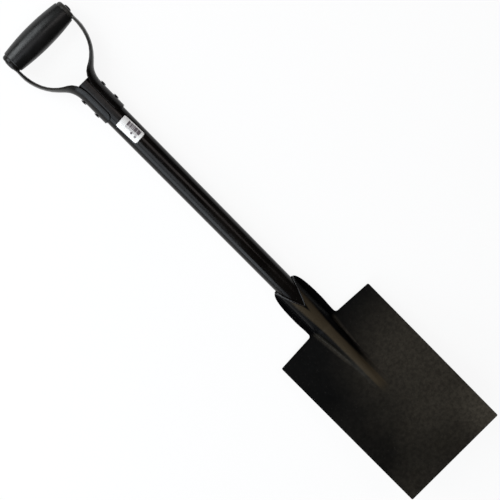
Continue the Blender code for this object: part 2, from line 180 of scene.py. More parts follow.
def open_mesh(obj, mode="VERT"):
    """Goes into edit mode with nothing selected."""
    work_on(obj)
    bpy.ops.object.mode_set(mode="EDIT")
    bpy.ops.mesh.select_mode(type=mode)
    bpy.ops.mesh.select_all(action="DESELECT")


def select_whole():
    """Selects all of the open mesh."""
    bpy.ops.mesh.select_all(action="SELECT")


def close_mesh():
    bpy.ops.object.mode_set(mode="OBJECT")


def pick(obj, kind, test):
    """Selects the verts, edges or faces that pass the test, and nothing else."""
    bpy.ops.mesh.select_all(action="DESELECT")
    bm = bmesh.from_edit_mesh(obj.data)
    for item in getattr(bm, kind):
        if test(item):
            item.select_set(True)
    bm.select_flush_mode()
    bmesh.update_edit_mesh(obj.data)


def modify(obj, kind, **settings):
    """Adds a modifier and applies it."""
    work_on(obj)
    modifier = obj.modifiers.new(kind.title(), kind)
    for name, value in settings.items():
        setattr(modifier, name, value)
    bpy.ops.object.modifier_apply(modifier=modifier.name)


def tidy(obj, merge=MERGE):
    """Merges doubled points and turns every face outward."""
    open_mesh(obj)
    select_whole()
    bpy.ops.mesh.remove_doubles(threshold=merge)
    bpy.ops.mesh.normals_make_consistent(inside=False)
    close_mesh()


def settle(obj, place=SHAFT):
    """Puts the piece where it belongs and leaves its object at the origin."""
    work_on(obj)
    bpy.context.view_layer.update()
    obj.matrix_world = place @ obj.matrix_world
    bpy.ops.object.transform_apply(location=True, rotation=True, scale=True)


def shade(obj, angle):
    """Smooth shading between faces that meet at less than the angle, led by the larger faces."""
    work_on(obj)
    bpy.ops.object.shade_smooth_by_angle(angle=math.radians(angle))
    modify(obj, "WEIGHTED_NORMAL", keep_sharp=True, weight=50)


def hand_over(obj, finish, replaced=(), body="shovel_frame"):
    """Gives a finished piece its finish and its body, and hides the solids that it stands for."""
    obj.data.materials.clear()
    obj.data.materials.append(finish_named(finish))
    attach(obj, body)
    if replaced:
        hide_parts(*replaced)


def steps(start, end, count):
    """Evenly spaced values from start to end, both included."""
    return [start + (end - start) * i / count for i in range(count + 1)]


def ease(value):
    """0 below 0, 1 above 1, and a smooth rise between."""
    value = min(max(value, 0.0), 1.0)
    return value * value * (3 - 2 * value)


def corner(center, radius, start, end, count):
    """Points of a round corner, with angles in degrees counted from +X."""
    angles = [math.radians(angle) for angle in steps(start, end, count)]
    return [(center[0] + radius * math.cos(angle), center[1] + radius * math.sin(angle)) for angle in angles]


def head(seat, side, radius, height):
    """The profile of a low round head with a small upright rim, from its rim to its middle."""
    rim = 0.2 * height
    points = [(side * seat, radius)]
    for angle in steps(0, 90, 8):
        rise = (height - rim) * math.sin(math.radians(angle))
        points.append((side * (seat + rim + rise), radius * math.cos(math.radians(angle))))
    return points


def turned(name, profile, count):
    """A solid turned round X: a point is extruded along the profile, and the profile is swept round."""
    bpy.ops.mesh.primitive_plane_add(size=0.002)
    obj = named(name)
    open_mesh(obj)
    select_whole()
    bpy.ops.mesh.merge(type="CENTER")
    bpy.ops.transform.translate(value=(profile[0][0], 0, profile[0][1]))
    for here, there in zip(profile, profile[1:]):
        step = (there[0] - here[0], 0, there[1] - here[1])
        bpy.ops.mesh.extrude_region_move(TRANSFORM_OT_translate={"value": step})
    close_mesh()
    modify(obj, "SCREW", axis="X", steps=count)
    tidy(obj)
    return obj


def rod(name, seat, radius, left_head, right_head, count):
    """A rod along X with a head at each end, each given by its radius and height."""
    left = head(seat, -1, *left_head)[::-1]
    right = head(seat, 1, *right_head)
    return turned(name, left + [(-seat, radius), (seat, radius)] + right, count)


def put_across(obj, height, angle):
    """Moves a turned piece up the shaft, lays it with the tool and shades it."""
    obj.location = (0, height, 0)
    settle(obj)
    shade(obj, angle)


def copy_solid(node, name):
    """A copy of a solid with its triangles joined into one skin of mostly four sided faces."""
    obj = new_object(name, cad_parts[node].data.copy())
    obj.data.name = name
    open_mesh(obj)
    select_whole()
    bpy.ops.mesh.remove_doubles(threshold=SHEET_MERGE)
    bpy.ops.mesh.tris_convert_to_quads(face_threshold=math.radians(8), shape_threshold=math.radians(60))
    bpy.ops.mesh.normals_make_consistent(inside=False)
    close_mesh()
    return obj


# The pressing: the sheet's middle surface, drawn through the same curves as the solid with more points


def heel_path(along):
    """Height, rise and lean of the sheet's middle line: along is + up the neck and - down the blade."""
    radius = HEEL_BEND / LIFT
    tangent = radius * math.tan(LIFT / 2)
    if along >= tangent:
        return along, 0.0, 0.0
    if along <= -tangent:
        return along * math.cos(LIFT), -along * math.sin(LIFT), LIFT
    lean = LIFT * (tangent - along) / (2 * tangent)
    return tangent - radius * math.sin(lean), radius * (1 - math.cos(lean)), lean


def frog_section(along):
    """Half width, height, crown radius and foot radius of the raised rib at one place."""
    down = max(-along - HEEL_BEND / 2, 0.0) / (FROG_LENGTH - HEEL_BEND / 2)
    if down >= 1:
        settled = ease((down - 1) * 4)
        return FROG_END_HALF + (FROG_FOOT - FROG_END_HALF) * settled, 0.0, FROG_CROWN_RADIUS, FROG_FOOT_RADIUS
    half = NECK_FOOT + (FROG_FOOT - NECK_FOOT) * (1 - (1 - down) ** 2)
    height = NECK_FOOT * (1 - down) ** FROG_FALL
    into_end = max(FROG_END_ROUNDING - (1 - down) * FROG_LENGTH, 0.0) / FROG_END_ROUNDING
    half = FROG_END_HALF + (half - FROG_END_HALF) * math.sqrt(1 - into_end**2)
    change = min(down * 2, 1.0)
    crown = SOCKET_RADIUS + (FROG_CROWN_RADIUS - SOCKET_RADIUS) * change
    foot = NECK_FOOT_RADIUS + (FROG_FOOT_RADIUS - NECK_FOOT_RADIUS) * change
    most = (half**2 + height**2) / (2 * height)
    shrink = min(most / (crown + foot), 1.0)
    return half, height, crown * shrink, foot * shrink


def rib_point(share, half, height, crown, foot):
    """A point of the rib's section: a crown arc, a straight flank and a foot arc, by share of its length."""
    both = crown + foot
    flank = math.sqrt(max(half**2 + height**2 - 2 * both * height, 0.0))
    slope = math.atan2(half, both - height) - math.atan2(flank, both)
    length = both * slope + flank
    run = share * length
    if run <= crown * slope:
        angle = run / crown
        return crown * math.sin(angle), height - crown * (1 - math.cos(angle))
    run -= crown * slope
    if run <= flank:
        across = crown * math.sin(slope) + run * math.cos(slope)
        return across, height - crown * (1 - math.cos(slope)) - run * math.sin(slope)
    angle = (length - share * length) / foot
    return half - foot * math.sin(angle), foot * (1 - math.cos(angle))


def notch_top(angle):
    """The neck's upper edge over the tube: a V from the front with a rounded point."""
    across = math.hypot(math.sin(angle), NOTCH_ROUNDING) - NOTCH_ROUNDING
    most = math.hypot(1, NOTCH_ROUNDING) - NOTCH_ROUNDING
    return NECK_LENGTH - NOTCH_DEPTH * (1 - across / most)


def wing_top(across):
    """The neck's upper edge beside the tube: it falls along a rounded corner."""
    share = min(max((across - SOCKET_RADIUS) / (WING_HALF - SOCKET_RADIUS), 0.0), 1.0)
    drop = (1 - share**WING_SQUARENESS) ** (1 / WING_SQUARENESS)
    return NECK_LENGTH - WING_ROUNDING * (1 - drop)


def corner_drop(across):
    """How far a rounded outer corner cuts into the upper or lower edge."""
    into = across - (BLADE_HALF - CORNER_RADIUS)
    if into <= 0:
        return 0.0
    return CORNER_RADIUS - math.sqrt(max(CORNER_RADIUS**2 - into**2, 0.0))


def shoulder_top(across):
    """The blade's upper edge outside the neck, with its fillet and its rounded outer corner."""
    start = WAIST_HALF + SHOULDER_FILLET
    if across < start:
        return SHOULDER_FILLET - math.sqrt(max(SHOULDER_FILLET**2 - (start - across) ** 2, 0.0))
    return -SHOULDER_DROP * (across - start) / (BLADE_HALF - start) - corner_drop(across)


def waist(across, along):
    """Draws the wing's edge in a little above the shoulder."""
    if across <= NECK_FOOT:
        return across
    share = ease((WAIST_START - along) / (WAIST_START - WAIST_END))
    return NECK_FOOT + (across - NECK_FOOT) * (1 - share * (WING_HALF - WAIST_HALF) / (WING_HALF - NECK_FOOT))


def middle_columns():
    """One function of the place along for each column of the frog and the neck, with its upper end."""
    columns = []
    crown_share = SOCKET_RADIUS / NECK_FOOT
    for share in steps(0, crown_share, 16) + steps(crown_share, 1, 6)[1:]:
        half, height, crown, foot = frog_section(NECK_LENGTH)
        angle = share * (crown + foot) * math.pi / 2 / crown
        across = rib_point(share, half, height, crown, foot)[0]
        top = notch_top(angle) if angle < math.pi / 2 else wing_top(across)
        columns.append((lambda along, share=share: rib_point(share, *frog_section(along)), top))
    span = WING_HALF - SOCKET_RADIUS
    first = math.asin((NECK_FOOT_RADIUS / span) ** (WING_SQUARENESS / 2))
    for angle in steps(first, math.pi / 2, 7)[1:]:
        wing = SOCKET_RADIUS + span * math.sin(angle) ** (2 / WING_SQUARENESS)

        def place(along, wing=wing):
            reach = waist(wing, along)
            share = (reach - NECK_FOOT) / (WAIST_HALF - NECK_FOOT)
            return reach + (frog_section(along)[0] - NECK_FOOT) * max(1 - share, 0.0), 0.0

        columns.append((place, wing_top(wing)))
    return columns


def side_columns():
    """The same for the blade outside the neck."""
    fillet = [WAIST_HALF + SHOULDER_FILLET * (1 - math.cos(math.radians(angle))) for angle in steps(0, 90, 6)]
    flat = steps(fillet[-1], BLADE_HALF - CORNER_RADIUS, 6)[1:]
    rounded = [BLADE_HALF - CORNER_RADIUS * share for share in (0.55, 0.25, 0.0)]
    return [(lambda along, x=x: (x, 0.0), shoulder_top(x)) for x in fillet + flat + rounded]


def blade_levels():
    """Places along the middle line where a row of points lies, from the cutting edge to the neck's top."""
    bend = HEEL_BEND / 2
    flat = -BLADE_LENGTH + CORNER_RADIUS
    end = -FROG_LENGTH + FROG_END_ROUNDING
    levels = [-BLADE_LENGTH]
    levels += steps(flat, -FROG_LENGTH, 8)
    levels += steps(-FROG_LENGTH, end, 10)[1:]
    levels += steps(end, -bend, 26)[1:]
    levels += steps(-bend, SHOULDER_FILLET, 8)[1:]
    levels += steps(SHOULDER_FILLET, NECK_LENGTH, 36)[1:]
    return levels


def add_columns(bm, columns, side, bottom=None):
    """Fills the sheet between neighbouring columns, each clipped to its own upper and lower end."""
    grid = []
    for place, top in columns:
        line = []
        for level in blade_levels():
            along = top if level > top - ROW_GAP else level
            across, height = place(along)
            if bottom:
                low = bottom(across)
                along = low if along < low + ROW_GAP else along
            shaft, rise, lean = heel_path(along)
            z = rise + height * math.cos(lean) + SOCKET_RADIUS - NECK_FOOT
            line.append(bm.verts.new((side * across, shaft + height * math.sin(lean), z)))
        grid.append(line)
    for left, right in zip(grid, grid[1:]):
        for i in range(len(left) - 1):
            kept = []
            for vert in (left[i], right[i], right[i + 1], left[i + 1]):
                if all((vert.co - other.co).length > MERGE for other in kept):
                    kept.append(vert)
            if len(kept) > 2:
                bm.faces.new(kept)


# Finishes


def new_finish(name):
    """A material with its node tree and its shader."""
    material = bpy.data.materials.new(name)
    material.use_nodes = True
    tree = material.node_tree
    return material, tree, tree.nodes["Principled BSDF"]


def add_node(tree, kind, label, **values):
    """One node with its label, settings and socket values, in columns by the order of making."""
    column, row = divmod(len(tree.nodes), NODES_IN_COLUMN)
    node = tree.nodes.new(f"ShaderNode{kind}")
    node.label = label
    node.location = (NODE_SPACE[0] * column, -NODE_SPACE[1] * (row + 1))
    for key, value in values.items():
        if hasattr(node, key):
            setattr(node, key, value)
        else:
            node.inputs[key.replace("_", " ")].default_value = value
    return node


def feed(tree, socket, value):
    """Links another node's output into a socket, or sets its number or colour."""
    if isinstance(value, bpy.types.NodeSocket):
        tree.links.new(value, socket)
    elif socket.type == "RGBA":
        socket.default_value = (*value, 1)
    else:
        socket.default_value = value


def maths(tree, operation, label, *values):
    """The outcome of a sum, with its values in order."""
    node = add_node(tree, "Math", label, operation=operation)
    for socket, value in zip(node.inputs, values):
        feed(tree, socket, value)
    return node.outputs[0]


def noise(tree, coords, label, scale, detail, roughness=0.5):
    """A pattern of soft clouds from 0 to 1."""
    node = add_node(tree, "TexNoise", label, Scale=scale, Detail=detail, Roughness=roughness)
    tree.links.new(coords, node.inputs["Vector"])
    return node.outputs["Fac"]


def spread(tree, value, label, low, high, out_low=0.0, out_high=1.0):
    """Stretches a pattern's range, with soft ends."""
    node = add_node(tree, "MapRange", label, interpolation_type="SMOOTHSTEP")
    for index, number in enumerate((value, low, high, out_low, out_high)):
        feed(tree, node.inputs[index], number)
    return node.outputs[0]


def mix_colours(tree, share, label, first, second, blend="MIX"):
    """The first colour with a share of the second."""
    node = add_node(tree, "Mix", label, data_type="RGBA", blend_type=blend)
    for index, value in ((0, share), (6, first), (7, second)):
        feed(tree, node.inputs[index], value)
    return node.outputs[2]


def bump(tree, height, label, depth, strength, below=None):
    """Normals of a pattern's relief, over those of a coarser one."""
    node = add_node(tree, "Bump", label, Distance=depth, Strength=strength)
    tree.links.new(height, node.inputs["Height"])
    if below is not None:
        tree.links.new(below, node.inputs["Normal"])
    return node.outputs["Normal"]


def tool_coords(tree):
    """Where a point lies on the tool, in metres."""
    return add_node(tree, "TexCoord", "Place on the tool").outputs["Object"]


def across_and_along(tree, coords):
    """The first two coordinates of a place."""
    parts = add_node(tree, "SeparateXYZ", "Across and along")
    tree.links.new(coords, parts.inputs[0])
    return parts.outputs[0], parts.outputs[1]


def stretched(tree, coords, label, scale):
    """The coordinates scaled, which draws a pattern out where the scale is small."""
    node = add_node(tree, "Mapping", label, Scale=scale)
    tree.links.new(coords, node.inputs["Vector"])
    return node.outputs[0]


def cloudy_colour(tree, coords, paint, cloud):
    """Gloss black with clouds of slightly paler paint."""
    clouds = noise(tree, coords, "Clouds in the paint", cloud, 6, 0.62)
    clouds = spread(tree, clouds, "Cloud contrast", 0.35, 0.68)
    return mix_colours(tree, clouds, "Paint colour", paint.shaft, paint.shaft_pale)


def paint_skin(tree, shader, coords, base, roughness, gloss, cloud, peel):
    """What all the paints share: specks of dust, wiped places, orange peel and grain."""
    specks = noise(tree, coords, "Dust specks", 520.0, 2, 0.4)
    specks = spread(tree, specks, "Only the highest specks", 0.66, 0.80, 0, 0.45)
    base = mix_colours(tree, specks, "Dust over the paint", base, (0.045, 0.042, 0.037))
    tree.links.new(base, shader.inputs["Base Color"])
    wiped = noise(tree, coords, "Wiped and dull places", cloud * 2.3, 5, 0.6)
    wiped = spread(tree, wiped, "Roughness range", 0.3, 0.7, -0.06, 0.08)
    wiped = maths(tree, "ADD", "Roughness", wiped, roughness)
    tree.links.new(wiped, shader.inputs["Roughness"])
    skin = noise(tree, coords, "Orange peel", 240.0, 3, 0.5)
    skin = bump(tree, skin, "Orange peel height", peel, 0.5)
    fine = noise(tree, coords, "Paint grain", 900.0, 3, 0.6)
    fine = bump(tree, fine, "Paint grain height", peel * 0.4, 0.35, skin)
    tree.links.new(fine, shader.inputs["Normal"])
    feed(tree, shader.inputs["Specular IOR Level"], gloss)


def painted_steel(name, paint, roughness, gloss, cloud=20.0, peel=0.00005):
    """Black gloss paint on steel."""
    material, tree, shader = new_finish(name)
    coords = tool_coords(tree)
    base = cloudy_colour(tree, coords, paint, cloud)
    paint_skin(tree, shader, coords, base, roughness, gloss, cloud, peel)
    return material


def yoke_paint(name, paint, roughness=0.25, gloss=0.175, cloud=26.0, peel=0.00005):
    """Paint of the straps, paler on the left arm and high on the right one, and duller low on it."""
    material, tree, shader = new_finish(name)
    coords = tool_coords(tree)
    x, y = across_and_along(tree, coords)
    base = cloudy_colour(tree, coords, paint, cloud)
    above = maths(tree, "SUBTRACT", "Above the tube's top", y, HEEL.y + TUBE_TOP)
    left = spread(tree, above, "From the tube up", -0.012, 0.028)
    left = spread(tree, above, "Along the left arm", 0.040, 0.052, left, 0.12)
    high = spread(tree, above, "High on the right arm", 0.030, 0.052)
    # Share of paler paint: along the left arm and high on the right one
    worn = spread(tree, x, "Left or right arm", -0.002, 0.002, left, high)
    base = mix_colours(tree, worn, "Worn by hands", base, paint.handled)
    dull = spread(tree, above, "Low on the right arm", 0.026, 0.036, 1.0, 0.0)
    start = spread(tree, above, "From the tube's top", 0.002, 0.010)
    dull = maths(tree, "MULTIPLY", "Between both", dull, start)
    dull = spread(tree, x, "Right arm only", -0.002, 0.002, 0.0, dull)
    gloss = maths(tree, "MULTIPLY_ADD", "Duller there", dull, -0.085, gloss)
    paint_skin(tree, shader, coords, base, roughness, gloss, cloud, peel)
    return material


def blade_colour(tree, coords, x, down, side, paint):
    """Brown, mottled paint that is worn towards the lower right and scuffed along the edge, with a painted
    highlight along the frog's foot.
    """
    across = maths(tree, "MULTIPLY", "Left to right", x, 4.6)
    shift = maths(tree, "MULTIPLY_ADD", "And down the blade", down, 0.9, across)
    clouds = noise(tree, coords, "Clouds in the paint", 13.0, 6, 0.62)
    shift = maths(tree, "MULTIPLY_ADD", "With the clouds", clouds, 0.4, shift)
    worn = spread(tree, shift, "Darker on the left", -0.12, 0.62)
    upper = spread(tree, down, "Darker under the shoulder", -0.01, 0.11)
    worn = maths(tree, "MULTIPLY", "How worn", worn, upper)
    scuffed = spread(tree, down, "Scuffed towards the cutting edge", 0.20, 0.29, 0.0, 0.75)
    loss = maths(tree, "MULTIPLY", "Worn places lost to it", worn, -1.0)
    worn = maths(tree, "MULTIPLY_ADD", "Less worn there", loss, scuffed, worn)
    corners = maths(tree, "MULTIPLY_ADD", "More at the corners", side, 5.0, 0.38)
    worn = maths(tree, "MULTIPLY_ADD", "And scuffed all over", scuffed, corners, worn)
    # Painted highlight: a paler line along the frog's foot on both sides, where its fillet catches the light
    line = maths(tree, "MULTIPLY_ADD", "Line of the frog's foot", down, 0.09, side)
    line = maths(tree, "SUBTRACT", "From that line", line, 0.0200)
    line = maths(tree, "ABSOLUTE", "On both sides", line)
    line = spread(tree, line, "Scuffed along the foot", 0.0015, 0.0055, 0.75, 0.0)
    reach = spread(tree, down, "Down along the frog", 0.06, 0.10, 1.0, 0.0)
    line = maths(tree, "MULTIPLY", "Scuffed foot", line, reach)
    # From here the share of paler paint also holds the painted highlight on the foot
    worn = maths(tree, "MAXIMUM", "Worn or scuffed", worn, line)
    least = spread(tree, down, "Never quite black lower down", 0.08, 0.14, 0.0, 0.15)
    worn = maths(tree, "MAXIMUM", "All wear", worn, least)
    blade = mix_colours(tree, worn, "Paint of the blade", paint.blade, paint.blade_pale)
    right = spread(tree, x, "Towards the right edge", 0.035, 0.085)
    low = spread(tree, down, "Towards the cutting edge", 0.20, 0.27)
    low = maths(tree, "MULTIPLY", "Lower right corner", right, low)
    polished = [1.7 * value for value in paint.blade_pale]
    blade = mix_colours(tree, low, "Polished corner", blade, polished)
    mottle = noise(tree, coords, "Mottling", 170.0, 4, 0.65)
    mottle = spread(tree, mottle, "Mottling contrast", 0.3, 0.7, 0.72, 1.30)
    return mix_colours(tree, 1.0, "Mottled paint", blade, mottle, "MULTIPLY")


def frog_dust_and_sheen(tree, down, side):
    """How much dust and painted sheen the frog carries: along a crest that narrows downwards and forks above
    along the V.
    """
    width = spread(tree, down, "The crest narrows", -0.07, 0.02, 0.0138, 0.0085)
    inner = maths(tree, "MULTIPLY", "Soft edge of the crest", width, 0.6)
    crest = spread(tree, side, "Along the crest", inner, width, 1.0, 0.0)
    fork = maths(tree, "MULTIPLY_ADD", "Forked along the V", side, 4.6, down)
    start = spread(tree, fork, "Below the neck's mouth", -0.046, -0.034)
    stop = spread(tree, down, "Down to the frog's end", 0.115, 0.145, 1.0, 0.0)
    reach = maths(tree, "MULTIPLY", "From mouth to end", start, stop)
    return maths(tree, "MULTIPLY", "Dusty crest", crest, reach)


def pressed_paint(name, paint, cloud=13.0, peel=0.00006):
    """Satin paint of the pressing: black on the neck, brown on the blade, painted shade in black on the
    frog's right flank, and dust with a painted sheen along the frog.
    """
    material, tree, shader = new_finish(name)
    coords = tool_coords(tree)
    x, y = across_and_along(tree, coords)
    down = maths(tree, "SUBTRACT", "Down from the heel", HEEL.y, y)
    side = maths(tree, "ABSOLUTE", "From the middle", x)

    blade = blade_colour(tree, coords, x, down, side, paint)
    neck = spread(tree, down, "Neck above the heel", -0.004, 0.006, 1.0, 0.0)
    base = mix_colours(tree, neck, "Neck or blade", blade, paint.neck)

    # Painted shade: the frog's right flank, which faces away from the light, is painted in the neck's black
    flank = maths(tree, "COMPARE", "Right flank of the frog", x, 0.0122, 0.0040)
    end = spread(tree, down, "Down to the flank's end", 0.055, 0.095, 0.9, 0.0)
    flank = maths(tree, "MULTIPLY", "Clean flank", flank, end)
    base = mix_colours(tree, flank, "Clean black flank", base, paint.neck)
    # Dust with a painted sheen: the crest and the neck along the V are painted paler, partly for dust and
    # partly for the light they catch
    dust_and_sheen = frog_dust_and_sheen(tree, down, side)
    base = mix_colours(tree, dust_and_sheen, "Dust on the frog", base, paint.crest)

    rough = maths(tree, "MULTIPLY_ADD", "Glossier neck", neck, -0.08, 0.44)
    fillet = maths(tree, "SUBTRACT", "From the right fillet", x, 0.0185)
    fillet = maths(tree, "ABSOLUTE", "Both ways", fillet)
    fillet = spread(tree, fillet, "On the fillet", 0.003, 0.005, 1.0, 0.0)
    fillet = maths(tree, "MULTIPLY", "And on the neck", fillet, neck)
    gloss = maths(tree, "MULTIPLY_ADD", "Dull fillet", fillet, -0.046, 0.055)
    paint_skin(tree, shader, coords, base, rough, gloss, cloud, peel)
    return material


def moulded_plastic(name, colour):
    """Black moulded plastic with flow marks along the grip and fine handling scratches."""
    material, tree, shader = new_finish(name)
    coords = tool_coords(tree)
    along = stretched(tree, coords, "Stretched along the grip", (0.35, 1.0, 1.0))
    flow = noise(tree, along, "Flow marks", 60.0, 5, 0.6)
    flow = spread(tree, flow, "Flow contrast", 0.35, 0.7)
    pale = [1.8 * value for value in colour]
    base = mix_colours(tree, flow, "Plastic colour", colour, pale)
    tree.links.new(base, shader.inputs["Base Color"])
    handled = noise(tree, coords, "Handled places", 45.0, 6, 0.65)
    handled = spread(tree, handled, "Roughness range", 0.3, 0.7, 0.26, 0.40)
    tree.links.new(handled, shader.inputs["Roughness"])
    around = stretched(tree, coords, "Stretched round the grip", (6.0, 0.6, 0.6))
    lines = noise(tree, around, "Handling scratches", 220.0, 4, 0.7)
    skin = bump(tree, lines, "Scratch height", 0.00003, 0.3)
    pores = noise(tree, coords, "Moulded skin", 420.0, 4, 0.6)
    skin = bump(tree, pores, "Skin height", 0.00003, 0.35, skin)
    tree.links.new(skin, shader.inputs["Normal"])
    shader.inputs["Specular IOR Level"].default_value = 0.31
    return material


def label_stock(name, colour, ink):
    """Bare label stock with faint generic bars and marks."""
    material, tree, shader = new_finish(name)
    coords = add_node(tree, "UVMap", "Place on the label").outputs["UV"]
    across, along = across_and_along(tree, coords)
    step = maths(tree, "MULTIPLY", "Bar number", along, 44.0)
    step = maths(tree, "FLOOR", "Whole bars", step)
    chance = add_node(tree, "TexWhiteNoise", "Dark or pale bar", noise_dimensions="1D")
    tree.links.new(step, chance.inputs["W"])
    bars = spread(tree, chance.outputs["Value"], "Bars", 0.15, 0.55, 0.60, 1.0)
    # Middle and half width across, middle and half length along, whether it is barred, and how dark it is
    fields = (
        (0.74, 0.170, 0.435, 0.310, True, 1.0),
        (0.48, 0.085, 0.450, 0.290, True, 0.45),
        (0.35, 0.075, 0.390, 0.042, False, 1.0),
        (0.32, 0.070, 0.195, 0.045, False, 0.85),
    )
    printed = 0.0
    for u, wide, v, long, barred, strength in fields:
        inside_u = maths(tree, "COMPARE", "Inside its width", across, u, wide)
        inside_v = maths(tree, "COMPARE", "Inside its length", along, v, long)
        area = maths(tree, "MULTIPLY", "Bar field", inside_u, inside_v)
        if barred:
            area = maths(tree, "MULTIPLY", "Barred", area, bars)
        printed = maths(tree, "MULTIPLY_ADD", "All print", area, strength, printed)
    base = mix_colours(tree, printed, "Print on the label", colour, ink)
    tree.links.new(base, shader.inputs["Base Color"])
    paper = noise(tree, coords, "Paper grain", 60.0, 4, 0.6)
    rough = spread(tree, paper, "Paper roughness", 0, 1, 0.42, 0.6)
    tree.links.new(rough, shader.inputs["Roughness"])
    tree.links.new(bump(tree, paper, "Paper height", 0.00003, 0.3), shader.inputs["Normal"])
    shader.inputs["Specular IOR Level"].default_value = 0.3
    return material


def pale_floor(name):
    """A white floor that keeps the shovel's shadow, also where it is seen mirrored."""
    material, tree, shader = new_finish(name)
    shader.inputs["Base Color"].default_value = (0.93, 0.93, 0.93, 1)
    shader.inputs["Roughness"].default_value = 0.9
    shader.inputs["Specular IOR Level"].default_value = 0.0
    path = add_node(tree, "LightPath", "Which ray")
    seen = path.outputs["Is Camera Ray"]
    for ray in ("Is Glossy Ray", "Is Transmission Ray"):
        seen = maths(tree, "MAXIMUM", "Seen or mirrored", seen, path.outputs[ray])
    share = maths(tree, "MULTIPLY", "Share of white", seen, settings()[2].floor_white)
    glow = add_node(tree, "Emission", "White", Strength=1.0)
    mixed = add_node(tree, "MixShader", "White floor that keeps its shadow")
    for socket, value in zip(mixed.inputs, (share, shader.outputs[0], glow.outputs[0])):
        tree.links.new(value, socket)
    tree.links.new(mixed.outputs[0], tree.nodes["Material Output"].inputs["Surface"])
    return material


# Sizes, colours and lights that a user would change


ANGLE = {"subtype": "ANGLE"}
LENGTH = {"unit": "LENGTH", "precision": 5}
POWER = {"unit": "POWER"}
SHARE = {"subtype": "FACTOR"}


def tint(name, default, description):
    """A colour that a user can change."""
    return FloatVectorProperty(
        name=name, description=description, subtype="COLOR", size=3, default=default, min=0, max=1,
    )


def amount(name, default, low, high, description, **kind):
    """A number that a user can change, with its limits."""
    return FloatProperty(name=name, description=description, default=default, min=low, max=high, **kind)


class ShovelPaint(bpy.types.PropertyGroup):
    blade: tint("Blade Paint", (0.0013, 0.0013, 0.0012), "Paint of the blade")
    blade_pale: tint("Worn Blade Paint", (0.0232, 0.0197, 0.0147), "Worn paint of the blade")
    # The neck's black also paints the shade on the frog's right flank
    neck: tint("Neck Paint", (0.0008, 0.0008, 0.0010), "Paint of the neck")
    # Dust on the frog, which also paints the sheen of light along its crest and up the V
    crest: tint("Frog Dust and Sheen", (0.0330, 0.0245, 0.0145), "Dust and painted sheen along the frog")
    shaft: tint("Shaft Paint", (0.0021, 0.0016, 0.0013), "Gloss paint of shaft and yoke")
    shaft_pale: tint("Shaft Clouds", (0.0042, 0.0033, 0.0026), "Paler clouds in the gloss paint")
    # Paler paint on the yoke's arms, along the left one and high on the right one
    handled: tint("Pale Arm Paint", (0.0335, 0.0315, 0.0280), "Paler paint on the yoke's arms")
    grip: tint("Grip Plastic", (0.0044, 0.0042, 0.0039), "Plastic of the moulded grip")
    label: tint("Label", (0.83, 0.81, 0.78), "Stock of the bare label")
    ink: tint("Label Bars", (0.11, 0.09, 0.10), "The label's generic bars")


class ShovelSizes(bpy.types.PropertyGroup):
    edge_rounding: amount("Edge Rounding", 0.0004, 0.0001, 0.0009, "Of the sheets' edges", **LENGTH)
    arm_paint: amount("Arm Paint", 0.0006, 0, 0.001, "How proud the arms' surface stands", **LENGTH)
    bead_radius: amount("Weld Bead", 0.0013, 0.0005, 0.003, "Radius of the neck's weld", **LENGTH)
    label_length: amount("Label Length", 0.0375, 0.01, 0.08, "Along the shaft", **LENGTH)
    label_width: amount("Label Width", 0.0205, 0.005, 0.04, "Round the shaft", **LENGTH)
    label_place: amount("Label Place", 0.4222, 0.1, 0.44, "From heel to label's middle", **LENGTH)
    label_turn: amount("Label Turn", math.radians(2.5), -0.5, 0.5, "Its lean on the shaft", **ANGLE)


class ShovelStudio(bpy.types.PropertyGroup):
    distance: amount("Camera Distance", 1.25, 0.5, 5, "From camera to shaft", **LENGTH)
    tilt: amount("Camera Tilt", math.radians(16.62), 0, 1.5, "Towards the handle", **ANGLE)
    lens: amount("Lens", 60.08, 20, 200, "Focal length of the camera", unit="CAMERA")
    key_left: amount("Left Light", 47.0, 0, 500, "Soft light beside the shaft", **POWER)
    soft_left: amount("Upper Left Light", 8.9, 0, 500, "Weaker light over the left", **POWER)
    soft_top: amount("Top Light", 2.4, 0, 500, "Small light over the yoke", **POWER)
    key_handle: amount("Handle Light", 55.0, 0, 500, "Soft light beyond the handle", **POWER)
    strip_right: amount("Right Light", 5.6, 0, 500, "Narrow warm light over the right", **POWER)
    world: amount("Room Light", 0.05, 0, 1, "Light from all round", **SHARE)
    floor_white: amount("Floor White", 0.90, 0, 1, "Plain white in the floor that is seen", **SHARE)


def settings():
    """The groups of colours, sizes and studio values."""
    scene = bpy.context.scene
    return scene.shovel_paint, scene.shovel_sizes, scene.shovel_studio


def finish_named(name):
    """The finish of that name, made the first time that a piece needs it."""
    if name in bpy.data.materials:
        return bpy.data.materials[name]
    paint = settings()[0]
    if name == "blade_finish":
        return pressed_paint(name, paint)
    if name == "shaft_finish":
        return painted_steel(name, paint, roughness=0.17, gloss=0.155)
    if name == "yoke_finish":
        return yoke_paint(name, paint)
    if name == "rivet_finish":
        return painted_steel(name, paint, roughness=0.30, gloss=0.20, cloud=60.0)
    if name == "weld_finish":
        return painted_steel(name, paint, roughness=0.24, gloss=0.30, cloud=60.0, peel=0.00003)
    if name == "grip_finish":
        return moulded_plastic(name, paint.grip)
    if name == "label_stock":
        return label_stock(name, paint.label, paint.ink)
    raise ValueError(f"no finish is called {name}")


# Pieces


